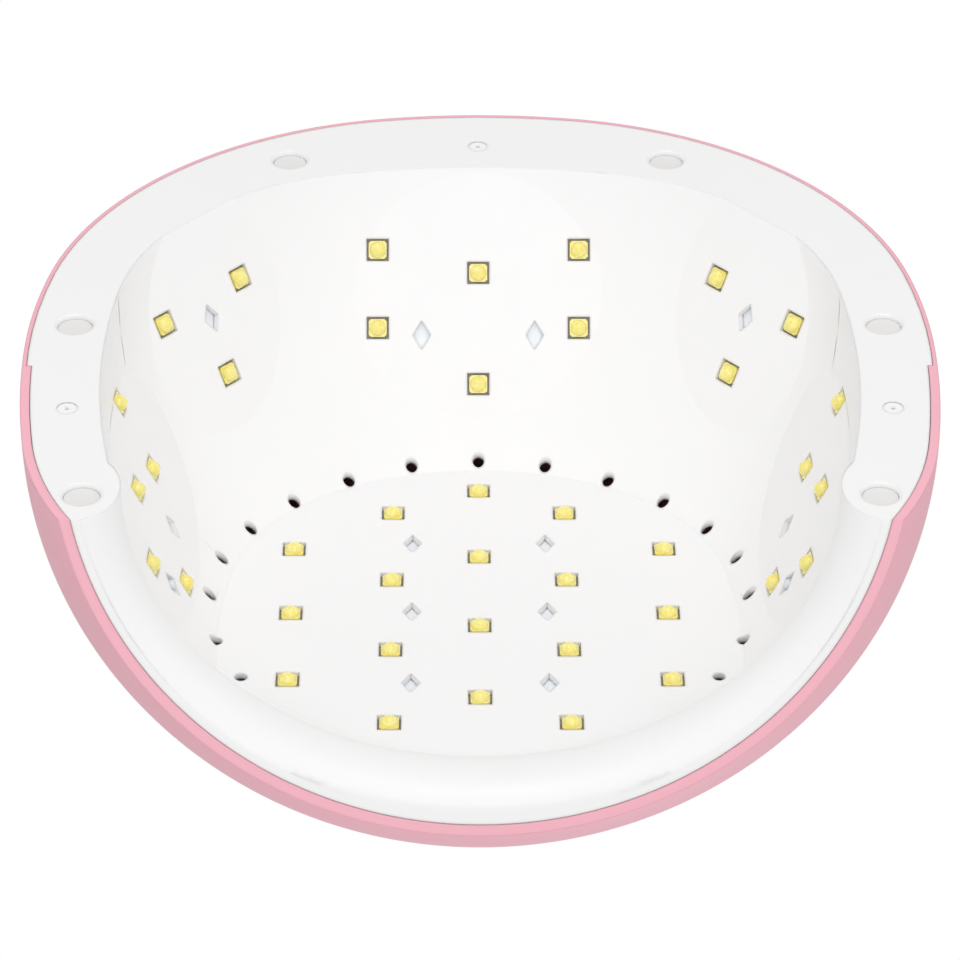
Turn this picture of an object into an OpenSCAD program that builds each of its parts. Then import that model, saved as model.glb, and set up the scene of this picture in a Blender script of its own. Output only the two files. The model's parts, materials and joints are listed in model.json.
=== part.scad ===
// Curing lamp for gel nail varnish: a domed casing open at the front and underneath,
// with a white reflector liner, six lamp boards, a control board and a rear power inlet.
// Units are mm. +Z is up, the lamp stands on its rim at z = 0 and the hand goes in from -Y.

/* [Casing] */
// Width of the casing at the rim
casing_width = 222.8; // [216:0.2:230]
// Height of the flat control panel above the table
casing_height = 98; // [94:0.5:104]
// Wall thickness of the casing
casing_wall = 2.3; // [1.8:0.1:3]
// Height of the casing's round back as a share of its half width
casing_rise = 0.98; // [0.94:0.01:1.02]
// Forward lean of the front opening in degrees
opening_lean = 20.6; // [14:0.2:24]

/* [Liner] */
// Thickness of the reflector liner
liner_wall = 1.8; // [1.4:0.1:2.2]
// Height of the flat ceiling inside the lamp
ceiling_height = 65; // [60:0.5:67]
// Forward shift of the dome for each mm of height
dome_shear = 0.44; // [0.38:0.01:0.48]
// Thickness of the flat rim that rests on the table
rim_thickness = 2; // [1.6:0.1:2.6]
// Gap between the liner and the casing
liner_gap = 0.15; // [0.1:0.05:0.3]

/* [Lamps] */
// Side of the square window in front of each LED
window_side = 5.8; // [5.6:0.1:6.4]
// Side of the square LED body
led_side = 5; // [4.4:0.1:5.2]
// Thickness of the LED body
led_thickness = 1.9; // [1.5:0.1:2.4]
// Height of the clear dome on each LED
lens_height = 1.9; // [1.2:0.1:2]
// Distance between LED rows on the ceiling
ceiling_row_pitch = 29.4; // [28:0.1:30]
// Distance of the inner LED columns from the middle
inner_column_x = 22; // [20:0.5:24]
// Distance of the outer LED columns from the middle
outer_column_x = 47; // [45:0.5:49]
// Thickness of every circuit board
board_thickness = 1.6; // [1:0.1:2]

/* [Vents] */
// Diameter of the vent holes around the ceiling
vent_diameter = 3.2; // [2.4:0.1:4]

/* [Controls] */
// Diameter of the timer buttons
button_diameter = 12.4; // [10:0.2:14]
// Distance between the timer buttons
button_pitch = 19; // [17:0.5:22]
// How far the timer buttons stand above the panel
button_stand = 1; // [0.6:0.1:1.6]

/* [Fasteners] */
// Diameter of the screw recesses in the rim
recess_diameter = 8.8; // [8:0.2:9.4]

/* [Hidden] */
$fn = 96;
outline_fn = 120;
turned_fn = 64;
eps = 0.01;
far = 400;
// turn in degrees by which neighbouring slices of an outline overlap
$lap = 0;

// casing outline in plan: three tangent arcs behind the widest line, two in front of it
casing_half = casing_width / 2;
casing_back_y = 171.4;
casing_wide_y = 55;
casing_back_r = 165;
casing_corner_r = 100;
casing_side_r = 180;
front_side_r = 288;
front_corner_r = 88;
front_join_angle = 8;
opening_foot_y = -17;
// the row's origin lies under the middle of the casing
middle_y = 63.7;

// the dome inside the liner
dome_half = 92;
dome_back_y = 144;
dome_wide_y = 52;
dome_back_r = 186;
dome_corner_r = 68;
dome_side_r = 230;
dome_front_y = -60;

// rounded collar around the front opening
collar_r = 94.5;
collar_tube_r = 10.5;
collar_rise = 0.795;
collar_depth = 1.2;
collar_base_y = opening_foot_y + collar_tube_r * collar_depth / cos(opening_lean);

// flat facets of the dome: point on the facet, plan direction of its outer side, slope
back_facet = [[0, 126, 28.6], 90, 57.5];
corner_facet = [[66.9, 105.5, 23.8], 42, 62];
side_facet = [[78.3, 45.2, 41.5], 3, 64];
ceiling_facet = [[0, 0, ceiling_height], -90, 0];

// lamp positions on each facet: along it, up it
back_leds = [[-26.3, -12.2], [26.3, -12.2], [0, -6.2], [-26.3, 8.2], [26.3, 8.2], [0, 22.9]];
back_diamonds = [[-14.8, 10.1], [14.8, 10.1]];
corner_leds = [[12, -7.5], [-15.8, -6.5], [-2.5, 13]];
corner_diamonds = [[-1.3, -2]];
side_leds = [[14, -26], [9.5, -7.8], [-5.3, -12], [-21.7, -0.4], [-10.8, 14.5]];
side_diamonds = [[0.5, 4.7], [-18.4, 9]];

// ceiling lamps: first row of each column, then forward by the row pitch
centre_first_y = 89.2;
inner_first_y = 79.2;
outer_first_y = 63.2;
outer_row_pitch = ceiling_row_pitch - 1.9;
centre_leds = [for (i = [0:3]) [0, centre_first_y - i * ceiling_row_pitch]];
inner_leds = [for (s = [-1, 1], i = [0:3]) [s * inner_column_x, inner_first_y - i * ceiling_row_pitch]];
outer_leds = [for (s = [-1, 1], i = [0:2]) [s * outer_column_x, outer_first_y - i * outer_row_pitch]];
ceiling_leds = concat(centre_leds, inner_leds, outer_leds);
ceiling_diamonds = [for (s = [-1, 1], i = [0:2]) [s * 16.9, 65.6 - i * ceiling_row_pitch]];
diamond_wide = 4.6;
diamond_long = 7.6;

// vents on an ellipse around the ceiling
vent_ring_y = 39.7;
vent_ring_x_r = 67.4;
vent_ring_y_r = 61;
vent_step = 15;
vent_pairs = 8;

// boards stand just behind the liner
board_gap = 0.2;
led_base = 0.5;
led_base_side = min(led_side + 0.5, window_side - 0.3);
lens_inset = 0.15;
lens_corner = 0.6;
board_back = liner_wall + board_gap;
ceiling_outline = [[-28, -15], [28, -15], [54, 2], [54, 68], [30, 88], [8, 95],
    [-8, 95], [-30, 88], [-54, 68], [-54, 2]];
back_outline = [[-32, -17], [32, -17], [32, 16], [16, 28], [-16, 28], [-32, 16]];
corner_outline = [[-21, -12], [17, -12], [17, 4], [4, 18], [-8, 18], [-21, 4]];
side_outline = [[5, -31], [18, -31], [18, 0], [0, 20], [-27, 20], [-27, -8]];

// board screws stand on the outer face of the liner
board_post_r = 2.2;
board_screw_r = 0.9;
board_screw_head_r = 2.8;
board_screw_head = 1.4;
ceiling_screws = [[-35, 50], [35, 50], [-35, 6], [35, 6], [0, 75], [0, 16]];
back_screws = [[-13.5, -5], [13.5, -5]];
corner_screws = [[-11.5, 4], [6.5, 3]];
side_screws = [[2, -4], [-12, 3]];

// rim fasteners: plan positions of the six recesses
recess_places = [[49.3, 148], [99.8, 67.5], [93, -6.3]];
recess_r = recess_diameter / 2;
cup_r = 6.2;
cup_height = 7;
cup_floor = 1.6;
plug_z = 1.3;
plug_thickness = 1.4;
plug_fit = 0.1;
screw_head_r = 3;
screw_head = 2;
screw_r = 1.4;
screw_length = 12;
boss_r = 4;
boss_top = 60;
gate_places = [[0, 155], [99, 30], [-99, 30]];
gate_r = 2.5;
gate_depth = 0.4;
rebate_front_y = 48.5;
rebate_lip = 1;

// control panel
panel_thickness = 2.4;
panel_under = casing_height - panel_thickness;
button_y = 14;
button_r = button_diameter / 2;
button_x = [for (i = [-1.5:1:1.5]) i * button_pitch];
button_clear = 0.3;
button_flange = 1;
button_flange_r = button_r + 1;
button_stem_r = 2;
control_board_z = panel_under - 9.2;
control_top_z = control_board_z + board_thickness;
switch_side = 6;
switch_height = 3.4;
plunger_r = 1.6;
plunger_clear = 0.3;
plunger_top_z = control_top_z + switch_height + 1;
plunger_foot_z = plunger_top_z - 2.2;
switch_hole = 2.1;
window_y = 40;
window_size = [44, 20];
window_ledge = 2;
window_thickness = 1.6;
window_fit = 0.1;
display_size = [36, 15];
display_top_z = panel_under - 0.3;
digit_wide = 6.4;
digit_high = 11;
digit_pitch = 10.5;
segment = 1.2;
segment_thickness = 0.2;
control_size = [84, 62];
control_y = 33;
control_post_r = 3;
control_screws = [[-38.5, -27.5], [38.5, -27.5], [-38.5, 27.5], [38.5, 27.5]];

// power inlet at the back
inlet_z = 16;
inlet_nose_r = 4.6;
inlet_hole_r = 4.8;
inlet_bore_r = 2.9;
inlet_bore_depth = 9.6;
inlet_pin_r = 1;
inlet_pin_length = 9;
inlet_face_y = 170.2;
inlet_body = [11, 13, 12];
inlet_body_front_y = 167.2;
inlet_root_r = 1.4;
cradle_wall = 1.8;

// rear air slots
slot_count = 7;
slot_pitch = 7;
slot_wide = 2.6;
slot_high = 12;
slot_z = 46;

casing_pink = [0.93, 0.66, 0.72];
liner_white = [0.96, 0.96, 0.96];
board_blue = [0.82, 0.88, 0.94];
board_green = [0.1, 0.4, 0.25];
lens_yellow = [0.98, 0.9, 0.45];
base_grey = [0.64, 0.61, 0.58];
clear_epoxy = [0.75, 0.8, 0.9];
metal = [0.75, 0.76, 0.78];
black = [0.08, 0.08, 0.09];

// ---- plan outlines ----

// centre of the arc that joins an arc on the axis to a side arc
function corner_centre(back, back_r, side, side_r, corner_r) =
    let (gap = norm(side - back),
         along = ((back_r - corner_r) ^ 2 - (side_r - corner_r) ^ 2 + gap ^ 2) / (2 * gap),
         across = sqrt((back_r - corner_r) ^ 2 - along ^ 2),
         u = (side - back) / gap)
    back + along * u + across * [u[1], -u[0]];

function heading(v) = atan2(v[1], v[0]);

// pie slice of a disc
module slice(centre, r, from, to) {
    half = (from + to) / 2;
    reach = 3 * r;
    intersection() {
        translate(centre) circle(r, $fn = outline_fn);
        polygon([centre,
            centre + reach * [cos(from), sin(from)],
            centre + reach * [cos(half), sin(half)],
            centre + reach * [cos(to), sin(to)]]);
    }
}

// the part of an outline on the right of the axis and between two heights
module right_side(low, high) {
    intersection() {
        children();
        translate([0, low]) square([far, high - low]);
    }
}

// region behind the widest line, bounded by a back, a corner and a side arc
module back_region(half, wide_y, back_y, back_r, corner_r, side_r, inset) {
    back = [0, back_y - back_r];
    side = [half - side_r, wide_y];
    corner = corner_centre(back, back_r, side, side_r, corner_r);
    upper = heading(corner - back);
    lower = heading(corner - side);
    right_side(wide_y, back_y + 10) {
        union() {
            union() {
                slice(back, back_r - inset, upper, 90.5);
                slice(corner, corner_r - inset, lower - $lap, upper + $lap);
            }
            union() {
                slice(side, side_r - inset, -0.5, lower);
                polygon($lap == 0 ? [back, corner, side] : [back,
                    back + norm(corner - back) * [cos(upper + $lap), sin(upper + $lap)],
                    corner + corner_r / 4 * [cos(upper), sin(upper)],
                    corner + corner_r / 4 * [cos(lower), sin(lower)],
                    side + norm(corner - side) * [cos(lower - $lap), sin(lower - $lap)],
                    side]);
            }
        }
    }
}

// the casing's outline in front of the widest line
module casing_front_region(inset) {
    side = [casing_half - front_side_r, casing_wide_y];
    corner = side + (front_side_r - front_corner_r) * [cos(front_join_angle), -sin(front_join_angle)];
    low = corner[1] - front_corner_r + inset;
    right_side(low, casing_wide_y) {
        union() {
            union() {
                slice(side, front_side_r - inset, -front_join_angle, 0.5);
                slice(corner, front_corner_r - inset, -90 - $lap, $lap - front_join_angle);
            }
            translate([0, low]) square([corner[0], casing_wide_y - low]);
        }
    }
}

// the dome's outline in front of the widest line
module dome_front_region(inset) {
    side = [dome_half - dome_side_r, dome_wide_y];
    right_side(dome_front_y, dome_wide_y)
        slice(side, dome_side_r - inset, -35, 0.5);
}

// plan of the whole casing
module casing_plan(inset) {
    union() {
        casing_half_plan(inset);
        mirror([1, 0, 0]) casing_half_plan(inset);
    }
}

module casing_half_plan(inset) {
    union() {
        back_region(casing_half, casing_wide_y, casing_back_y, casing_back_r,
            casing_corner_r, casing_side_r, inset);
        casing_front_region(inset);
    }
}

// turns an outline about the lamp's long axis
module turned_about_y() {
    rotate([0, 90, 0])
        rotate([-90, 0, 0])
            rotate_extrude($fn = turned_fn) children();
}

// ---- shared bodies ----

// everything in front of the front opening
module in_front_of_opening() {
    translate([0, opening_foot_y, 0])
        rotate([opening_lean, 0, 0])
            translate([-far / 2, -far, -far / 2])
                cube(far);
}

// solid egg of the casing, inset from its outer surface
module casing_egg(inset) {
    scale([1, 1, casing_rise])
        turned_about_y() casing_half_plan(inset);
}

// casing egg between the rim and the control panel
module casing_core(inset, low, high) {
    intersection() {
        casing_egg(inset);
        translate([-far / 2, -far / 2, low]) cube([far, far, high - low]);
    }
}

// places children on a facet: x along it, y up it, z out of the dome
module on_facet(facet) {
    translate(facet[0])
        rotate([0, 0, facet[1] + 90])
            rotate([facet[2], 0, 0])
                children();
}

// children on both sides of the lamp
module both_sides() {
    children();
    mirror([1, 0, 0]) children();
}

// block on the outer side of a facet
module beyond(facet, grow) {
    reach = 60;
    on_facet(facet)
        translate([-reach, -reach, grow])
            cube([2 * reach, 2 * reach, reach]);
}

// the dome's hollow, grown outward
module dome(grow) {
    difference() {
        multmatrix([[1, 0, 0, 0], [0, 1, -dome_shear, 0], [0, 0, 1, 0], [0, 0, 0, 1]])
            turned_about_y() {
                union() {
                    back_region(dome_half, dome_wide_y, dome_back_y, dome_back_r,
                        dome_corner_r, dome_side_r, -grow);
                    dome_front_region(-grow);
                }
            }
        translate([-far / 2, -far / 2, ceiling_height + grow]) cube(far);
        beyond(back_facet, grow);
        both_sides() beyond(corner_facet, grow);
        both_sides() beyond(side_facet, grow);
    }
}

// rounded bead around the front opening
module collar(shrink) {
    translate([0, collar_base_y, 0])
        rotate([90 + opening_lean, 0, 0])
            scale([1, collar_rise, collar_depth])
                rotate_extrude($fn = turned_fn)
                    translate([collar_r, 0]) circle(collar_tube_r - shrink, $fn = 32);
}

// whole hollow of the liner, grown outward
module cavity(grow) {
    difference() {
        intersection() {
            casing_egg(casing_wall + liner_gap + liner_wall - grow);
            union() {
                dome(grow);
                translate([0, collar_base_y + grow / cos(opening_lean), 0])
                    rotate([opening_lean, 0, 0])
                        translate([-far / 2, -far, -far / 2])
                            cube(far);
            }
        }
        collar(grow);
    }
}

// plate in the casing's rim rebate
module rim_rebate(inset, low, high, front_y) {
    translate([0, 0, low])
        linear_extrude(high - low)
            intersection() {
                casing_plan(inset);
                translate([-far / 2, front_y]) square(far);
            }
}

// ---- casing ----

module recess_columns(r, low, high) {
    both_sides()
        for (p = recess_places)
            translate([p[0], p[1], low]) cylinder(r = r, h = high - low);
}

// smooth shell with the rim rebate and the air slots, kept as one fine mesh
module casing_shell() {
    $lap = 1;
    resize([0, 0, 0])
        difference() {
            casing_core(0, 0, casing_height);
            casing_core(casing_wall, -far, panel_under);
            rim_rebate(rebate_lip, -1, rim_thickness + liner_gap, rebate_front_y);
            air_slots();
            in_front_of_opening();
        }
}

module casing_posts() {
    intersection() {
        casing_core(casing_wall / 2, cup_height + liner_gap, casing_height - 1);
        union() {
            recess_columns(boss_r, 0, boss_top);
            for (p = control_screws)
                translate([p[0], p[1] + control_y, control_top_z])
                    cylinder(r = control_post_r, h = panel_thickness + far / 50);
            translate([-inlet_body[0] / 2 - cradle_wall - liner_gap, inlet_body_front_y - 11,
                inlet_z - inlet_body[2] / 2])
                cube([cradle_wall, 16, inlet_body[2]]);
            translate([inlet_body[0] / 2 + liner_gap, inlet_body_front_y - 11,
                inlet_z - inlet_body[2] / 2])
                cube([cradle_wall, 16, inlet_body[2]]);
        }
    }
}

module air_slots() {
    for (i = [-(slot_count - 1) / 2:1:(slot_count - 1) / 2])
        translate([i * slot_pitch, casing_back_y - 25, slot_z])
            rotate([-90, 0, 0]) {
                translate([-slot_wide / 2, -slot_high / 2, 0])
                    cube([slot_wide, slot_high, 30]);
                for (s = [-1, 1])
                    translate([0, s * slot_high / 2, 0]) cylinder(d = slot_wide, h = 30, $fn = 16);
            }
}

module panel_openings() {
    for (x = button_x)
        translate([x, button_y, panel_under - 1])
            cylinder(r = button_r + button_clear, h = panel_thickness + 2);
    translate([-window_size[0] / 2, window_y - window_size[1] / 2, casing_height - window_thickness])
        cube([window_size[0], window_size[1], 5]);
    translate([-window_size[0] / 2 + window_ledge, window_y - window_size[1] / 2 + window_ledge,
        panel_under - 1])
        cube([window_size[0] - 2 * window_ledge, window_size[1] - 2 * window_ledge, 5]);
}

module outer_casing() {
    color(casing_pink)
        difference() {
            union() {
                casing_shell();
                casing_posts();
            }
            recess_columns(screw_r + 0.1, 0, cup_height + screw_length);
            for (p = control_screws)
                translate([p[0], p[1] + control_y, control_board_z]) cylinder(r = 1.3, h = 7);
            translate([0, inlet_face_y - 8, inlet_z])
                rotate([-90, 0, 0]) cylinder(r = inlet_hole_r, h = 12);
            panel_openings();
        }
}

// ---- liner ----

module lamp_windows(facet, leds, diamonds) {
    deep = 6;
    high = deep + liner_wall + board_gap / 2;
    on_facet(facet)
        translate([0, 0, -deep]) {
            for (p = leds)
                translate([p[0] - window_side / 2, p[1] - window_side / 2, 0])
                    cube([window_side, window_side, high]);
            for (p = diamonds)
                translate(p)
                    linear_extrude(high)
                        polygon([[diamond_wide / 2, 0], [0, diamond_long / 2],
                            [-diamond_wide / 2, 0], [0, -diamond_long / 2]]);
        }
}

module all_windows() {
    lamp_windows(ceiling_facet, ceiling_leds, ceiling_diamonds);
    lamp_windows(back_facet, back_leds, back_diamonds);
    both_sides() lamp_windows(corner_facet, corner_leds, corner_diamonds);
    both_sides() lamp_windows(side_facet, side_leds, side_diamonds);
}

module vents() {
    for (i = [-vent_pairs:vent_pairs])
        translate([vent_ring_x_r * sin(i * vent_step), vent_ring_y + vent_ring_y_r * cos(i * vent_step),
            ceiling_height - 14])
            cylinder(d = vent_diameter, h = 18, $fn = 16);
}

module board_posts(facet, places) {
    low = liner_wall - 0.3;
    on_facet(facet)
        for (p = places)
            translate([p[0], p[1], low])
                cylinder(r = board_post_r, h = board_back + board_thickness - low, $fn = 32);
}

module board_post_bores(facet, places) {
    on_facet(facet)
        for (p = places)
            translate([p[0], p[1], 0.7])
                cylinder(r = board_screw_r + 0.1, h = 6, $fn = 24);
}

module all_board_posts() {
    board_posts(ceiling_facet, ceiling_screws);
    board_posts(back_facet, back_screws);
    both_sides() board_posts(corner_facet, corner_screws);
    both_sides() board_posts(side_facet, side_screws);
}

module all_board_post_bores() {
    board_post_bores(ceiling_facet, ceiling_screws);
    board_post_bores(back_facet, back_screws);
    both_sides() board_post_bores(corner_facet, corner_screws);
    both_sides() board_post_bores(side_facet, side_screws);
}

// smooth skin with the rim, the windows and the vents, kept as one fine mesh
module liner_skin() {
    $lap = 1;
    resize([0, 0, 0])
        difference() {
            union() {
                cavity(liner_wall);
                linear_extrude(rim_thickness) casing_plan(casing_wall + liner_gap);
                rim_rebate(rebate_lip + liner_gap, 0, rim_thickness, rebate_front_y + liner_gap);
            }
            translate([-far / 2, -far / 2, -far]) cube(far);
            in_front_of_opening();
            cavity(0);
            all_windows();
            vents();
        }
}

module recess_cuts() {
    chamfer = 0.6;
    recess_columns(recess_r, -1, cup_height - cup_floor);
    recess_columns(screw_r + 0.3, 0, cup_height + 1);
    both_sides()
        for (p = recess_places)
            translate([p[0], p[1], -eps])
                cylinder(r1 = recess_r + chamfer, r2 = recess_r, h = chamfer);
    for (p = gate_places)
        translate([p[0], p[1], -1])
            difference() {
                cylinder(r = gate_r, h = 1 + gate_depth);
                cylinder(r = 0.4, h = 2 + gate_depth);
            }
}

module inner_liner() {
    color(liner_white)
        difference() {
            union() {
                liner_skin();
                all_board_posts();
                recess_columns(cup_r, rim_thickness / 2, cup_height);
            }
            all_board_post_bores();
            recess_cuts();
        }
}

module screw_plugs() {
    color(liner_white * 0.93)
        recess_columns(recess_r - plug_fit, plug_z, plug_z + plug_thickness);
}

module casing_screws() {
    head_top = cup_height - cup_floor;
    color(metal)
        both_sides()
            for (p = recess_places)
                translate([p[0], p[1], head_top])
                    difference() {
                        union() {
                            translate([0, 0, -screw_head]) cylinder(r = screw_head_r, h = screw_head);
                            cylinder(r = screw_r, h = screw_length);
                        }
                        for (turn = [0, 90])
                            rotate([0, 0, turn])
                                translate([-2, -0.4, -screw_head - 1]) cube([4, 0.8, 2.1]);
                    }
}

// ---- lamp boards ----

module lamp_board(facet, outline, screws) {
    color(board_blue)
        on_facet(facet)
            translate([0, 0, board_back])
                linear_extrude(board_thickness)
                    difference() {
                        polygon(outline);
                        for (p = screws) translate(p) circle(board_post_r + 0.1, $fn = 32);
                    }
}

module led_bodies(facet, leds) {
    color(base_grey)
        on_facet(facet)
            for (p = leds)
                translate([p[0] - led_base_side / 2, p[1] - led_base_side / 2, board_back - led_base])
                    cube([led_base_side, led_base_side, led_base]);
}

module cut_corner_square(side, cut) {
    half = side / 2;
    polygon([[half, half - cut], [half - cut, half], [cut - half, half], [-half, half - cut],
        [-half, cut - half], [cut - half, -half], [half - cut, -half], [half, cut - half]]);
}

module led_lenses(facet, leds) {
    dome_r = led_side * 0.42;
    ball_r = (dome_r ^ 2 + lens_height ^ 2) / (2 * lens_height);
    sink = 0.2;
    color(lens_yellow)
        on_facet(facet)
            for (p = leds)
                translate([p[0], p[1], board_back - led_thickness])
                    union() {
                        intersection() {
                            translate([0, 0, ball_r - lens_height]) sphere(ball_r, $fn = 48);
                            translate([0, 0, -lens_height - sink])
                                cylinder(r = dome_r, h = lens_height + 2 * sink);
                        }
                        linear_extrude(led_thickness - led_base)
                            cut_corner_square(led_side - 2 * lens_inset, lens_corner);
                    }
}

module screws_on(facet, places) {
    on_facet(facet)
        for (p = places)
            translate([p[0], p[1], board_back + board_thickness]) {
                difference() {
                    union() {
                        cylinder(r = board_screw_head_r, h = board_screw_head, $fn = 32);
                        translate([0, 0, -2.8]) cylinder(r = board_screw_r, h = 3, $fn = 24);
                    }
                    for (turn = [0, 90])
                        rotate([0, 0, turn])
                            translate([-1.6, -0.3, board_screw_head - 0.7]) cube([3.2, 0.6, 1]);
                }
            }
}

module board_screws() {
    color(metal) {
        screws_on(ceiling_facet, ceiling_screws);
        screws_on(back_facet, back_screws);
        both_sides() screws_on(corner_facet, corner_screws);
        both_sides() screws_on(side_facet, side_screws);
    }
}

module ceiling_board() { lamp_board(ceiling_facet, ceiling_outline, ceiling_screws); }
module back_board() { lamp_board(back_facet, back_outline, back_screws); }
module corner_board_right() { lamp_board(corner_facet, corner_outline, corner_screws); }
module corner_board_left() { mirror([1, 0, 0]) corner_board_right(); }
module side_board_right() { lamp_board(side_facet, side_outline, side_screws); }
module side_board_left() { mirror([1, 0, 0]) side_board_right(); }

module corner_leds_right() { led_bodies(corner_facet, corner_leds); }
module corner_leds_left() { mirror([1, 0, 0]) corner_leds_right(); }
module side_leds_right() { led_bodies(side_facet, side_leds); }
module side_leds_left() { mirror([1, 0, 0]) side_leds_right(); }
module corner_lenses_right() { led_lenses(corner_facet, corner_leds); }
module corner_lenses_left() { mirror([1, 0, 0]) corner_lenses_right(); }
module side_lenses_right() { led_lenses(side_facet, side_leds); }
module side_lenses_left() { mirror([1, 0, 0]) side_lenses_right(); }

// the hand sensor looks through the front diamond of each side
module sensor_bead() {
    bead_r = 1.4;
    on_facet(side_facet)
        translate([side_diamonds[1][0], side_diamonds[1][1], board_back]) {
            union() {
                translate([0, 0, -bead_r]) cylinder(r = bead_r, h = bead_r, $fn = 32);
                translate([0, 0, -bead_r]) sphere(bead_r - 0.1, $fn = 32);
            }
        }
}

module hand_emitter() { color(clear_epoxy) sensor_bead(); }
module hand_receiver() { color(clear_epoxy) mirror([1, 0, 0]) sensor_bead(); }

// ---- control board ----

module hanging_block(x, y, size) {
    translate([x - size[0] / 2, y - size[1] / 2, control_board_z - size[2]]) cube(size);
}

module control_board() {
    color(board_green)
        translate([0, control_y, control_board_z])
            linear_extrude(board_thickness)
                difference() {
                    square(control_size, center = true);
                    for (p = control_screws) translate(p) circle(1.4, $fn = 32);
                }
}

module control_screws() {
    head = 1.6;
    color(metal)
        for (p = control_screws)
            translate([p[0], p[1] + control_y, control_board_z])
                difference() {
                    union() {
                        translate([0, 0, -head]) cylinder(r = 2.6, h = head, $fn = 32);
                        cylinder(r = 1.2, h = 6.5, $fn = 32);
                    }
                    for (turn = [0, 90])
                        rotate([0, 0, turn]) translate([-1.6, -0.3, -head - 1]) cube([3.2, 0.6, 1.8]);
                }
}

module display_module() {
    color(black)
        translate([-display_size[0] / 2, window_y - display_size[1] / 2, control_top_z])
            cube([display_size[0], display_size[1], display_top_z - control_top_z]);
}

// seven bars of one figure, each its own piece
module figure_bars() {
    half_w = digit_wide / 2;
    half_h = digit_high / 2;
    bar = half_h - 1.5 * segment;
    for (y = [-half_h + segment / 2, 0, half_h - segment / 2])
        translate([-half_w + segment, y - segment / 2, 0])
            cube([digit_wide - 2 * segment, segment, segment_thickness]);
    for (x = [-half_w + segment / 2 - 0.15, half_w - segment / 2 + 0.15], s = [-1, 1])
        translate([x - segment / 2, s > 0 ? 0.75 * segment : -0.75 * segment - bar, 0])
            cube([segment, bar, segment_thickness]);
}

module display_digits() {
    color([0.85, 0.87, 0.88])
        for (i = [-1:1])
            translate([i * digit_pitch, window_y, display_top_z]) figure_bars();
}

module display_window() {
    color([0.12, 0.1, 0.11, 0.75])
        translate([-window_size[0] / 2 + window_fit, window_y - window_size[1] / 2 + window_fit,
            casing_height - window_thickness])
            cube([window_size[0] - 2 * window_fit, window_size[1] - 2 * window_fit, window_thickness]);
}

module timer_button(x) {
    top = casing_height + button_stand;
    flange_top = panel_under - button_clear;
    edge = 0.6;
    color(liner_white)
        translate([x, button_y, 0]) {
            union() {
                translate([0, 0, flange_top - eps])
                    cylinder(r = button_r, h = top - edge - flange_top + eps);
                translate([0, 0, top - edge]) cylinder(r1 = button_r, r2 = button_r - edge, h = edge);
                translate([0, 0, flange_top - button_flange])
                    cylinder(r = button_flange_r, h = button_flange);
                translate([0, 0, plunger_top_z])
                    cylinder(r = button_stem_r, h = flange_top - button_flange - plunger_top_z + eps);
            }
        }
}

module switch_plunger(x) {
    color(black)
        translate([x, button_y, plunger_foot_z])
            cylinder(r = plunger_r, h = plunger_top_z - plunger_foot_z, $fn = 32);
}

module timer_button_1() { timer_button(button_x[0]); }
module timer_button_2() { timer_button(button_x[1]); }
module timer_button_3() { timer_button(button_x[2]); }
module timer_button_4() { timer_button(button_x[3]); }
module switch_plunger_1() { switch_plunger(button_x[0]); }
module switch_plunger_2() { switch_plunger(button_x[1]); }
module switch_plunger_3() { switch_plunger(button_x[2]); }
module switch_plunger_4() { switch_plunger(button_x[3]); }

module switch_bodies() {
    color(metal * 0.7)
        for (x = button_x)
            translate([x, button_y, control_top_z])
                difference() {
                    translate([-switch_side / 2, -switch_side / 2, 0])
                        cube([switch_side, switch_side, switch_height]);
                    translate([0, 0, switch_height - switch_hole])
                        cylinder(r = plunger_r + plunger_clear, h = 5, $fn = 32);
                }
}

module processor_chip() { color(black) hanging_block(0, 22, [10, 10, 1.6]); }

module driver_transistors() {
    color(black)
        for (i = [0:3]) hanging_block(-15 + 10 * i, 44, [6.6, 8, 2.4]);
}

module choke_coil() {
    height = 7;
    color([0.25, 0.22, 0.2])
        translate([26, 28, control_board_z - height])
            difference() {
                cylinder(r = 6.5, h = height);
                translate([0, 0, 1]) difference() {
                    cylinder(r = 7, h = height - 2);
                    translate([0, 0, -1]) cylinder(r = 5, h = height);
                }
            }
}

module smoothing_capacitors() {
    color([0.2, 0.22, 0.3])
        for (y = [20, 32])
            translate([-26, y, control_board_z - 10]) cylinder(r = 4, h = 10);
}

module board_plug(facet, place) {
    on_facet(facet)
        translate([place[0] - 3, place[1] - 2.5, board_back + board_thickness]) cube([6, 5, 3]);
}

module board_connectors() {
    color([0.93, 0.92, 0.88]) {
        board_plug(ceiling_facet, [0, 45]);
        board_plug(back_facet, [0, 3]);
        both_sides() board_plug(corner_facet, [-3, -6]);
        both_sides() board_plug(side_facet, [-5, -14]);
        for (s = [-1, 1]) hanging_block(s * 20, 58, [26, 6, 4]);
    }
}

// ---- power inlet ----

module along_y(start, r, length) {
    translate([0, start, inlet_z]) rotate([-90, 0, 0]) cylinder(r = r, h = length, $fn = 64);
}

module power_inlet() {
    bore_end = inlet_face_y - inlet_bore_depth;
    color(black)
        difference() {
            union() {
                translate([-inlet_body[0] / 2, inlet_body_front_y - inlet_body[1],
                    inlet_z - inlet_body[2] / 2])
                    cube(inlet_body);
                along_y(inlet_body_front_y - 1, inlet_nose_r, inlet_face_y - inlet_body_front_y + 1);
            }
            along_y(bore_end, inlet_bore_r, far);
            along_y(bore_end - 3, inlet_root_r, 4);
        }
}

module inlet_pin() {
    bore_end = inlet_face_y - inlet_bore_depth;
    color(metal)
        union() {
            along_y(bore_end - 3, inlet_root_r, 3);
            along_y(bore_end - eps, inlet_pin_r, inlet_pin_length + eps);
        }
}

// ---- wiring ----

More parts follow.
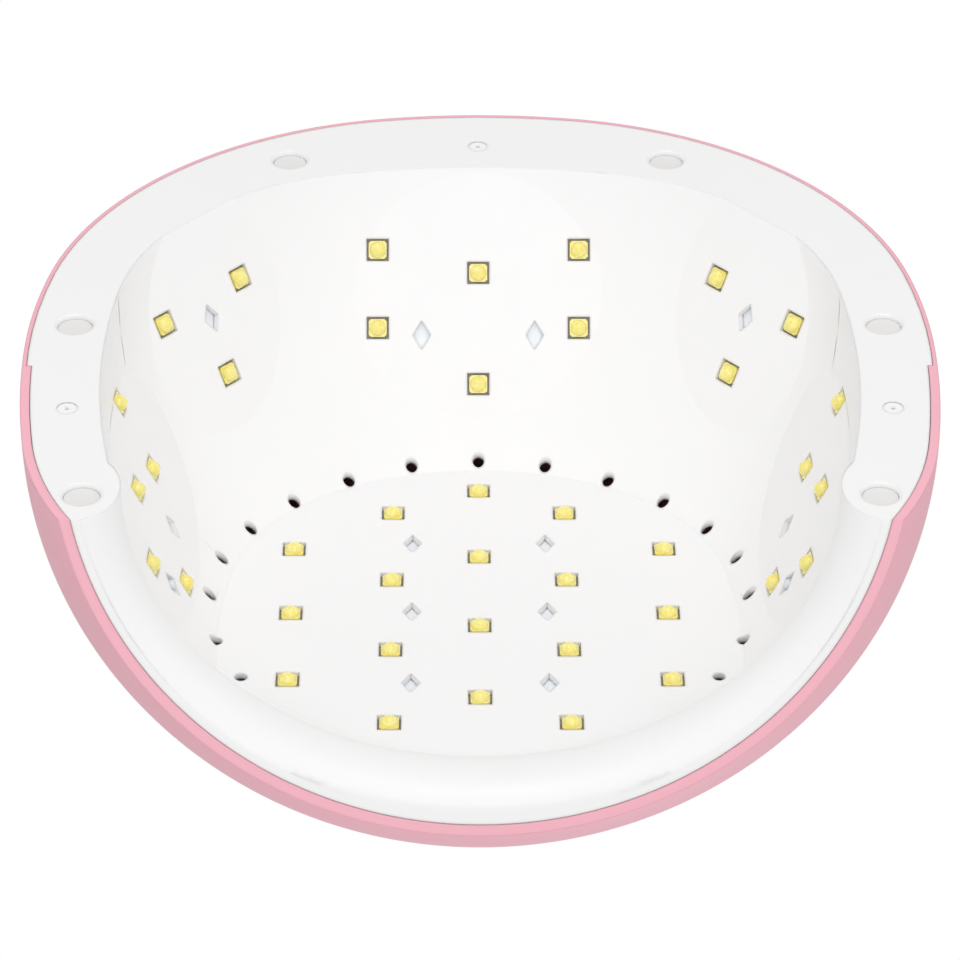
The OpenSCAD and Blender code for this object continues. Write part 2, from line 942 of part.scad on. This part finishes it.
module wire(points) {
    wire_r = 1.1;
    union() {
        for (i = [0:len(points) - 2]) {
            a = points[i];
            b = points[i + 1];
            run = norm(b - a);
            turn = atan2(b[1] - a[1], b[0] - a[0]);
            drop = acos((b[2] - a[2]) / run);
            translate(a) rotate([0, drop, turn]) cylinder(r = wire_r, h = run, $fn = 24);
            if (i > 0) translate(a) sphere(wire_r + 0.25, $fn = 24);
        }
    }
}

module internal_wiring() {
    top = control_board_z - 4.1;
    color(black) {
        wire([[10, 58, top], [10, 56, 76], [0, 46, 76], [0, 45, 71.7]]);
        wire([[14, 58, top], [14, 62, 76], [6, 104, 74], [0, 136, 42], [0, 130.1, 34.9]]);
        both_sides() wire([[24, 58, top], [30, 64, 76], [62, 84, 70], [80, 106, 38], [75.4, 109.2, 21.7]]);
        both_sides() wire([[30, 57, top], [34, 52, 76], [68, 46, 72], [91, 42, 48], [90.7, 40.8, 31.9]]);
        wire([[-12, 58, top], [-12, 64, 76], [-8, 112, 70], [-4, 146, 36], [0, 153.9, 16.5]]);
    }
}

// moves a part so that the row's origin is under the middle of the casing
module placed() {
    translate([0, -middle_y, 0]) children();
}

placed() outer_casing();
placed() inner_liner();
placed() screw_plugs();
placed() casing_screws();
placed() ceiling_board();
placed() back_board();
placed() corner_board_left();
placed() corner_board_right();
placed() side_board_left();
placed() side_board_right();
placed() led_bodies(ceiling_facet, ceiling_leds);
placed() led_bodies(back_facet, back_leds);
placed() corner_leds_left();
placed() corner_leds_right();
placed() side_leds_left();
placed() side_leds_right();
placed() led_lenses(ceiling_facet, ceiling_leds);  // ceiling_lenses
placed() led_lenses(back_facet, back_leds);  // back_lenses
placed() corner_lenses_left();
placed() corner_lenses_right();
placed() side_lenses_left();
placed() side_lenses_right();
placed() board_screws();
placed() control_board();
placed() control_screws();
placed() display_module();
placed() display_digits();
placed() display_window();
placed() timer_button_1();
placed() timer_button_2();
placed() timer_button_3();
placed() timer_button_4();
placed() switch_plunger_1();
placed() switch_plunger_2();
placed() switch_plunger_3();
placed() switch_plunger_4();
placed() switch_bodies();
placed() processor_chip();
placed() driver_transistors();
placed() choke_coil();
placed() smoothing_capacitors();
placed() board_connectors();
placed() hand_emitter();
placed() hand_receiver();
placed() power_inlet();
placed() inlet_pin();
placed() internal_wiring();
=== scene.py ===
import json
import math

import bmesh
import bpy
from mathutils import Matrix, Vector


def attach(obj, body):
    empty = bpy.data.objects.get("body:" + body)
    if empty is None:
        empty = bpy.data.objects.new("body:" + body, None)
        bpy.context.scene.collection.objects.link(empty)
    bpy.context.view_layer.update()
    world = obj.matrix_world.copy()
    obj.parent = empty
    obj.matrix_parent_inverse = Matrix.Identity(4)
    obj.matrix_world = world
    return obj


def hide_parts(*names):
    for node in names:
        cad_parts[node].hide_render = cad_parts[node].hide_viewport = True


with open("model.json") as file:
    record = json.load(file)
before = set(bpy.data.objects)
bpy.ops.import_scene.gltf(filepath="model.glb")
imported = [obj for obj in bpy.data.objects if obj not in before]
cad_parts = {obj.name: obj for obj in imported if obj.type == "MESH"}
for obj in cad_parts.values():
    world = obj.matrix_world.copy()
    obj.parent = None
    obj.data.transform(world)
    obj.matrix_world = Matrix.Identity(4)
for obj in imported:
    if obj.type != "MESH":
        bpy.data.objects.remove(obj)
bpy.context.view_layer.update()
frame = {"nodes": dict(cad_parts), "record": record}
nodes = frame["nodes"]
MM = 0.001
MIDDLE_Y = 63.7 * MM  # from the design's origin to the middle of the casing


# ---- materials ----

class Tree:
    """A material's node tree, built in short steps."""

    def __init__(self, name):
        self.material = bpy.data.materials.new(name)
        self.material.use_nodes = True
        self.nodes = self.material.node_tree.nodes
        self.links = self.material.node_tree.links
        self.shader = self.nodes["Principled BSDF"]
        self.coords = self.nodes.new("ShaderNodeTexCoord")

    def add(self, kind, **values):
        node = self.nodes.new(kind)
        for key, value in values.items():
            if key in node.inputs:
                node.inputs[key].default_value = value
            else:
                setattr(node, key, value)
        return node

    def noise(self, scale, detail=2.0):
        node = self.add("ShaderNodeTexNoise", Scale=scale, Detail=detail)
        self.links.new(self.coords.outputs["Object"], node.inputs["Vector"])
        return node

    def ramp(self, source, low, high, start=0.0, end=1.0):
        node = self.add("ShaderNodeValToRGB")
        node.color_ramp.elements[0].position = start
        node.color_ramp.elements[1].position = end
        node.color_ramp.elements[0].color = low
        node.color_ramp.elements[1].color = high
        self.links.new(source, node.inputs["Fac"])
        return node

    def bump(self, source, strength, distance):
        node = self.add("ShaderNodeBump", Strength=strength, Distance=distance)
        self.links.new(source, node.inputs["Height"])
        self.links.new(node.outputs["Normal"], self.shader.inputs["Normal"])


def grey(value):
    return (value, value, value, 1.0)


def shade(color, factor):
    return tuple(min(1.0, c * factor) for c in color[:3]) + (1.0,)


def surface(name, color, roughness, metallic=0.0, spread=0.03, grain=60.0, bump=0.0,
            coat=0.0, ior=1.5, edge=0.0):
    """Moulded, plated or lacquered surface with a faint variation of colour and gloss.

    The grain is the pattern's scale. A surface has either a bump or an edge, and the edge is the
    radius to which its corners look rounded.
    """
    t = Tree(name)
    s = t.shader
    s.inputs["Metallic"].default_value = metallic
    s.inputs["IOR"].default_value = ior
    s.inputs["Coat Weight"].default_value = coat
    s.inputs["Coat Roughness"].default_value = 0.12
    broad = t.noise(grain, 3.0)
    tint = t.ramp(broad.outputs["Fac"], shade(color, 1.0 - spread), shade(color, 1.0 + spread),
                  0.3, 0.7)
    t.links.new(tint.outputs["Color"], s.inputs["Base Color"])
    fine = t.noise(grain * 8.0, 2.0)
    gloss = t.ramp(fine.outputs["Fac"], grey(roughness * 0.9), grey(min(1.0, roughness * 1.12)),
                   0.35, 0.65)
    t.links.new(gloss.outputs["Color"], s.inputs["Roughness"])
    if edge:
        rounded = t.add("ShaderNodeBevel", Radius=edge)
        rounded.samples = 6
        t.links.new(rounded.outputs["Normal"], s.inputs["Normal"])
    if bump:
        t.bump(t.noise(grain * 30.0, 2.0).outputs["Fac"], bump, 0.2 * MM)
    return t.material


def lens_material():
    """Soft silicone lens filled with yellow phosphor, with fine paler specks and a glossy skin."""
    t = Tree("led_lens")
    s = t.shader
    s.inputs["Roughness"].default_value = 0.08
    s.inputs["IOR"].default_value = 1.42
    s.inputs["Coat Weight"].default_value = 0.6
    s.inputs["Coat Roughness"].default_value = 0.03
    s.inputs["Subsurface Weight"].default_value = 0.35
    s.inputs["Subsurface Radius"].default_value = (0.0015, 0.0012, 0.0004)
    s.inputs["Subsurface Scale"].default_value = 1.0
    speck = t.noise(900.0, 3.0)
    tint = t.ramp(speck.outputs["Fac"], (0.98, 0.80, 0.18, 1.0), (1.0, 0.90, 0.36, 1.0), 0.3, 0.7)
    t.links.new(tint.outputs["Color"], s.inputs["Base Color"])
    return t.material


PINK = (0.95, 0.485, 0.57, 1.0)
WHITE = (0.950, 0.945, 0.946, 1.0)
materials = {
    "casing": surface("casing_pink", PINK, 0.42, grain=12.0, spread=0.006, edge=0.0007, ior=1.33),
    "liner": surface("liner_white", WHITE, 0.42, grain=12.0, spread=0.003, edge=0.0011),
    "plugs": surface("plug_white", (0.82, 0.81, 0.80, 1.0), 0.5, grain=90.0, spread=0.01,
                     edge=0.0004),
    "screws": surface("zinc_plate", (0.72, 0.73, 0.74, 1.0), 0.28, metallic=1.0, grain=700.0,
                      bump=0.1),
    "lamp_pcb": surface("board_white", (0.93, 0.96, 1.0, 1.0), 0.35, grain=150.0, coat=0.3),
    "control_pcb": surface("board_green", (0.02, 0.16, 0.08, 1.0), 0.35, grain=120.0,
                           spread=0.12, coat=0.4),
    "led_packages": surface("solder_base", (0.36, 0.33, 0.30, 1.0), 0.5, grain=600.0, spread=0.15),
    "led_lenses": lens_material(),
    "display_cover": surface("smoked_acrylic", (0.035, 0.028, 0.032, 1.0), 0.06, grain=80.0,
                             spread=0.1, coat=0.5),
    "display_figures": surface("figure_grey", (0.55, 0.57, 0.58, 1.0), 0.5, grain=400.0),
    "buttons": surface("button_white", (0.86, 0.86, 0.865, 1.0), 0.28, grain=120.0, coat=0.2,
                       bump=0.05),
    "switch_cans": surface("stamped_steel", (0.62, 0.62, 0.63, 1.0), 0.32, metallic=1.0,
                           grain=600.0, bump=0.1),
    "black_parts": surface("black_plastic", (0.018, 0.018, 0.020, 1.0), 0.38, grain=300.0,
                           spread=0.15, bump=0.15),
    "wiring": surface("wire_sheath", (0.02, 0.02, 0.024, 1.0), 0.45, grain=500.0, spread=0.2),
    "connectors": surface("nylon", (0.80, 0.77, 0.68, 1.0), 0.45, grain=300.0),
    "coil": surface("ferrite", (0.05, 0.04, 0.035, 1.0), 0.5, grain=400.0, spread=0.25, bump=0.3),
    "capacitors": surface("can_sleeve", (0.03, 0.05, 0.12, 1.0), 0.3, grain=300.0, spread=0.1),
    "sensor_clear": surface("clear_epoxy", (0.75, 0.80, 0.86, 1.0), 0.08, grain=500.0, coat=0.5),
}


# ---- smooth shading of the carried-over meshes ----

def smooth_group():
    """Geometry nodes that weld split vertices and smooth every edge below an angle."""
    weld_distance = 0.002 * MM
    sharp_angle = math.radians(52.0)
    group = bpy.data.node_groups.new("smooth_by_angle", "GeometryNodeTree")
    group.interface.new_socket("Geometry", in_out="INPUT", socket_type="NodeSocketGeometry")
    group.interface.new_socket("Geometry", in_out="OUTPUT", socket_type="NodeSocketGeometry")
    n, link = group.nodes, group.links.new
    start = n.new("NodeGroupInput")
    end = n.new("NodeGroupOutput")
    weld = n.new("GeometryNodeMergeByDistance")
    weld.inputs["Distance"].default_value = weld_distance
    faces = n.new("GeometryNodeSetShadeSmooth")
    edges = n.new("GeometryNodeSetShadeSmooth")
    edges.domain = "EDGE"
    edges.inputs["Shade Smooth"].default_value = False
    angle = n.new("GeometryNodeInputMeshEdgeAngle")
    sharp = n.new("FunctionNodeCompare")
    sharp.operation = "GREATER_THAN"
    sharp.inputs[1].default_value = sharp_angle
    link(start.outputs[0], weld.inputs["Geometry"])
    link(weld.outputs["Geometry"], faces.inputs["Geometry"])
    link(faces.outputs["Geometry"], edges.inputs["Geometry"])
    link(angle.outputs["Unsigned Angle"], sharp.inputs[0])
    link(sharp.outputs[0], edges.inputs["Selection"])
    link(edges.outputs["Geometry"], end.inputs[0])
    return group


smoother = smooth_group()
slot_of = {p["node"]: p["material_slot"] for p in frame["record"]["subparts"]}
for name, obj in nodes.items():
    obj.data.materials.clear()
    obj.data.materials.append(materials[slot_of[name]])
    obj.modifiers.new("smooth", "NODES").node_group = smoother


# ---- smooth skins of the casing and the liner, worked out in mm on the CAD part's own curves ----

WALL = 2.3  # thickness of the casing
GAP = 0.15  # between the casing and the liner
LINER = 1.8  # thickness of the liner
RISE = 0.98  # height of the casing's section over its half width
LEAN = math.radians(20.6)  # of the opening's plane
FOOT_Y = -17  # where the opening meets the ground
COLLAR_R = 94.5  # radius of the rolled collar's centre line
TUBE_R = 10.5  # radius of its section


def heading(v):
    """Direction in degrees, from the X axis."""
    return math.degrees(math.atan2(v.y, v.x))


def corner_centre(back, back_r, side, side_r, corner_r):
    """Centre of the arc that joins an arc on the lamp's long axis to a side arc."""
    gap = (side - back).length
    along = ((back_r - corner_r) ** 2 - (side_r - corner_r) ** 2 + gap ** 2) / (2 * gap)
    across = math.sqrt((back_r - corner_r) ** 2 - along ** 2)
    u = (side - back) / gap
    return back + along * u + across * Vector((u.y, -u.x))


def back_arcs(half, wide_y, back_y, back_r, corner_r, side_r, inset):
    """Three tangent arcs behind the widest line: centre, radius and the headings they cover."""
    past_axis = 91
    back = Vector((0, back_y - back_r))
    side = Vector((half - side_r, wide_y))
    corner = corner_centre(back, back_r, side, side_r, corner_r)
    upper, lower = heading(corner - back), heading(corner - side)
    return [(back, back_r - inset, upper, past_axis), (corner, corner_r - inset, lower, upper),
            (side, side_r - inset, 0, lower)]


def casing_arcs(inset):
    """Half outline of the casing: back, rear corner and side, then a long side arc and a front corner."""
    half, wide_y, back_y = 111.4, 55, 171.4
    back_r, rear_corner_r, rear_side_r = 165, 100, 180
    side_r, corner_r, join, past_axis = 288, 88, 8, 91
    side = Vector((half - side_r, wide_y))
    turn = math.radians(join)
    corner = side + (side_r - corner_r) * Vector((math.cos(turn), -math.sin(turn)))
    return back_arcs(half, wide_y, back_y, back_r, rear_corner_r, rear_side_r, inset) + [
        (side, side_r - inset, -join, 0), (corner, corner_r - inset, -past_axis, -join)]


def dome_arcs():
    """Half outline of the cavity's dome: back, rear corner and a side that runs on to the opening."""
    half, wide_y, back_y = 92, 52, 144
    back_r, corner_r, side_r, side_end = 186, 68, 230, -35
    side = Vector((half - side_r, wide_y))
    arcs = back_arcs(half, wide_y, back_y, back_r, corner_r, side_r, 0)
    return arcs + [(side, side_r, side_end, 0)]


class Turned:
    """Surface of arcs turned about the lamp's long axis and then placed by a matrix, in mm."""

    def __init__(self, arcs, place=None):
        self.arcs = arcs
        self.place = Matrix.Translation((0, -MIDDLE_Y / MM, 0)) @ (place or Matrix())
        self.back = self.place.inverted()
        self.turn = self.back.to_3x3().transposed()

    def nearest(self, point):
        """Nearest point of the surface, its outward normal and the distance from it."""
        slack = 0.5
        p = self.back @ point
        rho = max(math.hypot(p.x, p.z), 1e-6)
        flat = Vector((rho, p.y))
        best = None
        for centre, radius, low, high in self.arcs:
            arm = flat - centre
            if low - slack <= heading(arm) <= high + slack:
                off = abs(arm.length - radius)
                if best is None or off < best[0]:
                    best = (off, centre, radius, arm.normalized())
        if best is None:
            return None
        _, centre, radius, arm = best
        on = centre + radius * arm
        ring = Vector((p.x / rho, 0, p.z / rho))
        found = self.place @ (ring * on.x + Vector((0, on.y, 0)))
        normal = (self.turn @ (ring * arm.x + Vector((0, arm.y, 0)))).normalized()
        return found, normal, (found - point).length


def raised(rise):
    """Flattens or stretches a surface upwards."""
    return Matrix.Diagonal((1, 1, rise, 1))


def collar_place():
    """Ring round the opening, leaning back with it, lower than it is wide and deeper than it is thick."""
    height = 0.795
    depth = 1.2
    base = FOOT_Y + TUBE_R * depth / math.cos(LEAN)
    return (Matrix.Translation((0, base, 0)) @ Matrix.Rotation(math.pi / 2 + LEAN, 4, "X")
            @ Matrix.Diagonal((1, height, depth, 1)) @ Matrix.Rotation(math.pi / 2, 4, "X"))


def sheared(shear):
    """Leans a surface towards the front as it rises."""
    place = Matrix()
    place[1][2] = -shear
    return place


casing_surfaces = [Turned(casing_arcs(0), raised(RISE)), Turned(casing_arcs(WALL), raised(RISE))]
liner_surfaces = [
    Turned(dome_arcs(), sheared(0.44)),
    Turned([(Vector((COLLAR_R, 0)), TUBE_R, -180, 180)], collar_place()),
    Turned(casing_arcs(WALL + GAP + LINER), raised(RISE)),
    Turned(casing_arcs(WALL + GAP), raised(RISE)),
]


def large_planes(mesh, least):
    """Faces that lie in one plane with others, over an area of at least so many square mm."""
    groups = {}
    for face in mesh.faces:
        offset = face.normal.dot(face.verts[0].co)
        key = tuple(round(c, 3) for c in face.normal) + (round(offset, 2),)
        groups.setdefault(key, []).append(face)
    flat = set()
    for group in groups.values():
        if sum(f.calc_area() for f in group) > least:
            flat.update(f.index for f in group)
    return flat


def skin_index(face, surfaces, near=0.3, agree=0.94):
    """Which smooth surface a face belongs to, counted from 1, or 0."""
    middle = face.calc_center_median()
    probes = [v.co for v in face.verts] + [middle]
    probes += [(e.verts[0].co + e.verts[1].co) / 2 for e in face.edges]
    for index, surface in enumerate(surfaces, 1):
        hits = []
        for probe in probes:
            hit = surface.nearest(probe)
            if hit is None or hit[2] > near:
                break
            hits.append(hit)
        if len(hits) == len(probes) and abs(hits[len(face.verts)][1].dot(face.normal)) > agree:
            return index
    return 0


def settle(mesh, layer, surfaces):
    """Moves every vertex of the skins onto its exact surfaces, and keeps the flat faces flat."""
    most = 0.5
    rounds = 4
    places = {}
    for vert in mesh.verts:
        labels = {f[layer] for f in vert.link_faces}
        curved = [surfaces[i - 1] for i in sorted(labels) if i]
        if not curved:
            continue
        planes = [(f.normal.copy(), f.verts[0].co.copy()) for f in vert.link_faces if not f[layer]]
        point = vert.co.copy()
        for _ in range(rounds if planes or len(curved) > 1 else 1):
            for surface in curved:
                hit = surface.nearest(point)
                if hit:
                    point = hit[0]
            for normal, origin in planes:
                point = point - normal * normal.dot(point - origin)
        if (point - vert.co).length < most:
            places[vert] = point
    for vert, point in places.items():
        vert.co = point


def fill_groove(mesh, layer, surfaces):
    """Eases the valley between the liner's collar and its edge, so that one runs into the other."""
    collar, band = 2, 3  # places in liner_surfaces, counted from 1
    least, most, ease = 0.01, 3.5, 0.85
    out = Vector((0, math.cos(LEAN), math.sin(LEAN)))
    foot = Vector((0, FOOT_Y - MIDDLE_Y / MM, 0))
    back = surfaces[collar - 1].back
    moved = set()
    for vert in mesh.verts:
        labels = {f[layer] for f in vert.link_faces}
        if not labels & {collar, band}:
            continue
        depth = (vert.co - foot).dot(out)
        local = back @ vert.co
        beyond_crest = band in labels or math.hypot(local.x, local.z) > COLLAR_R
        if least < depth < most and beyond_crest:
            vert.co -= out * depth * ease
            moved.update(f for f in vert.link_faces if f[layer] in (collar, band))
    for face in moved:
        face[layer] = -1


def corner_normals(mesh, layer, surfaces, angle=40.0):
    """Exact normals on the skins, and normals smoothed under an angle everywhere else."""
    least = math.cos(math.radians(angle))
    kindred = 0.4
    normals = []
    for face in mesh.faces:
        label = face[layer]
        for loop in face.loops:
            if label > 0:
                total = Vector()
                for other in sorted({f[layer] for f in loop.vert.link_faces} - {0, -1}):
                    hit = surfaces[other - 1].nearest(loop.vert.co)
                    normal = hit[1] if hit else face.normal
                    normal = normal if normal.dot(face.normal) > 0 else -normal
                    if other == label or normal.dot(face.normal) > kindred:
                        total += normal
                normals.append(total.normalized())
                continue
            total = Vector()
            for other in loop.vert.link_faces:
                kin = label < 0 or other[layer] <= 0
                if kin and other.normal.dot(face.normal) > least:
                    total += other.normal * other.calc_area()
            normals.append(total.normalized() if total.length > 0 else face.normal)
    return normals


def smooth_skin(node, surfaces, longest, finish=None):
    """Copy of a CAD node whose facets are divided and laid on the exact turned surfaces."""
    weld = 0.002
    plane_area = 400.0
    passes = 3
    mesh = bmesh.new()
    mesh.from_mesh(nodes[node].data)
    bmesh.ops.scale(mesh, vec=(1 / MM,) * 3, verts=mesh.verts)
    bmesh.ops.remove_doubles(mesh, verts=mesh.verts, dist=weld)
    bmesh.ops.dissolve_degenerate(mesh, edges=mesh.edges, dist=weld)
    mesh.normal_update()
    mesh.faces.index_update()
    flat = large_planes(mesh, plane_area)
    layer = mesh.faces.layers.int.new("skin")
    for face in mesh.faces:
        face[layer] = 0 if face.index in flat else skin_index(face, surfaces)
    for _ in range(passes):
        long = [e for e in mesh.edges if e.calc_length() > longest
                and any(f[layer] for f in e.link_faces)]
        if not long:
            break
        bmesh.ops.subdivide_edges(mesh, edges=long, cuts=1)
        bmesh.ops.triangulate(mesh, faces=[f for f in mesh.faces if len(f.verts) > 3])
    mesh.normal_update()
    settle(mesh, layer, surfaces)
    if finish:
        finish(mesh, layer, surfaces)
    mesh.normal_update()
    for face in mesh.faces:
        face.smooth = True
    normals = corner_normals(mesh, layer, surfaces)
    mesh.faces.layers.int.remove(layer)
    bmesh.ops.scale(mesh, vec=(MM,) * 3, verts=mesh.verts)
    data = bpy.data.meshes.new(node + "_skin")
    mesh.to_mesh(data)
    mesh.free()
    data.normals_split_custom_set(normals)
    data.materials.append(materials[slot_of[node]])
    skin = bpy.data.objects.new(node + "_skin", data)
    bpy.context.scene.collection.objects.link(skin)
    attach(skin, "lamp")
    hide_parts(node)


LONGEST_EDGE = 4.0
smooth_skin("outer_casing", casing_surfaces, LONGEST_EDGE)
smooth_skin("inner_liner", liner_surfaces, LONGEST_EDGE, fill_groove)


# ---- floor, light, camera ----

def one_sided_floor():
    """Pale floor just under the rim, seen only from above, so that the cavity shows from below."""
    mesh = bpy.data.meshes.new("floor")
    reach = 8.0
    low = -0.2 * MM
    mesh.from_pydata([(-reach, -reach, low), (reach, -reach, low), (reach, reach, low),
                      (-reach, reach, low)], [], [(0, 1, 2, 3)])
    floor = bpy.data.objects.new("floor", mesh)
    bpy.context.scene.collection.objects.link(floor)
    t = Tree("floor")
    s = t.shader
    s.inputs["Roughness"].default_value = 0.7
    s.inputs["Emission Color"].default_value = (1.0, 1.0, 1.0, 1.0)
    s.inputs["Emission Strength"].default_value = 0.18
    tint = t.ramp(t.noise(3.0, 2.0).outputs["Fac"], grey(0.90), grey(0.93), 0.3, 0.7)
    t.links.new(tint.outputs["Color"], s.inputs["Base Color"])
    side = t.add("ShaderNodeNewGeometry")
    clear = t.add("ShaderNodeBsdfTransparent")
    mix = t.add("ShaderNodeMixShader")
    t.links.new(side.outputs["Backfacing"], mix.inputs[0])
    t.links.new(s.outputs[0], mix.inputs[1])
    t.links.new(clear.outputs[0], mix.inputs[2])
    t.links.new(mix.outputs[0], t.nodes["Material Output"].inputs["Surface"])
    mesh.materials.append(t.material)
    floor.visible_diffuse = False
    floor.visible_glossy = False
    floor.visible_transmission = False
    floor.visible_shadow = False


def soft_light(name, place, aim_height, side, power):
    """White round lamp that points at a spot above the middle of the rim."""
    aim = Vector((0, 0, aim_height))
    data = bpy.data.lights.new(name, "AREA")
    data.shape = "DISK"
    data.size = side
    data.energy = power
    light = bpy.data.objects.new(name, data)
    bpy.context.scene.collection.objects.link(light)
    light.location = place
    light.rotation_euler = (aim - Vector(place)).to_track_quat("-Z", "Y").to_euler()


def white_room(fill):
    """White all round as seen, with a softer fill as light."""
    world = bpy.data.worlds.new("white_room")
    world.use_nodes = True
    nodes, links = world.node_tree.nodes, world.node_tree.links
    background = nodes["Background"]
    background.inputs["Color"].default_value = (1.0, 1.0, 1.0, 1.0)
    path = nodes.new("ShaderNodeLightPath")
    level = nodes.new("ShaderNodeMapRange")
    level.inputs["To Min"].default_value = fill
    level.inputs["To Max"].default_value = 1.0
    links.new(path.outputs["Is Camera Ray"], level.inputs["Value"])
    links.new(level.outputs["Result"], background.inputs["Strength"])
    bpy.context.scene.world = world


one_sided_floor()
white_room(0.64)
bpy.context.scene.view_settings.view_transform = "Standard"

soft_light("below", (0.0, -0.30, -1.40), 0.03, 0.9, 4.4)
soft_light("under_front", (-0.12, -1.25, -0.80), 0.03, 0.9, 4.0)
soft_light("over", (-0.5, -0.2, 1.5), 0.05, 0.9, 3.5)
soft_light("front", (0.3, -1.6, 0.15), 0.05, 0.8, 0.8)
for name, x in (("left", 1.1), ("right", -1.1)):
    soft_light(name, (x, 0.30, -0.80), 0.04, 0.7, 0.8)


def place_camera():
    """Looks up into the cavity from the front and below, upside down as the picture is."""
    data = bpy.data.cameras.new("camera")
    data.sensor_width = 36.0
    data.lens = 162.47
    data.shift_x = -0.0011
    data.shift_y = -0.0018
    data.clip_start = 0.05
    data.clip_end = 20.0
    camera = bpy.data.objects.new("camera", data)
    bpy.context.scene.collection.objects.link(camera)
    swing = math.radians(0.41093)
    lift = math.radians(34.36764)
    roll = math.radians(-179.80701)
    camera.matrix_world = (Matrix.Translation((0.0060, -0.8364 - MIDDLE_Y, -0.5720))
                           @ Matrix.Rotation(swing, 4, "Z")
                           @ Matrix.Rotation(math.pi / 2 + lift, 4, "X")
                           @ Matrix.Rotation(roll, 4, "Z"))
    bpy.context.scene.camera = camera


place_camera()
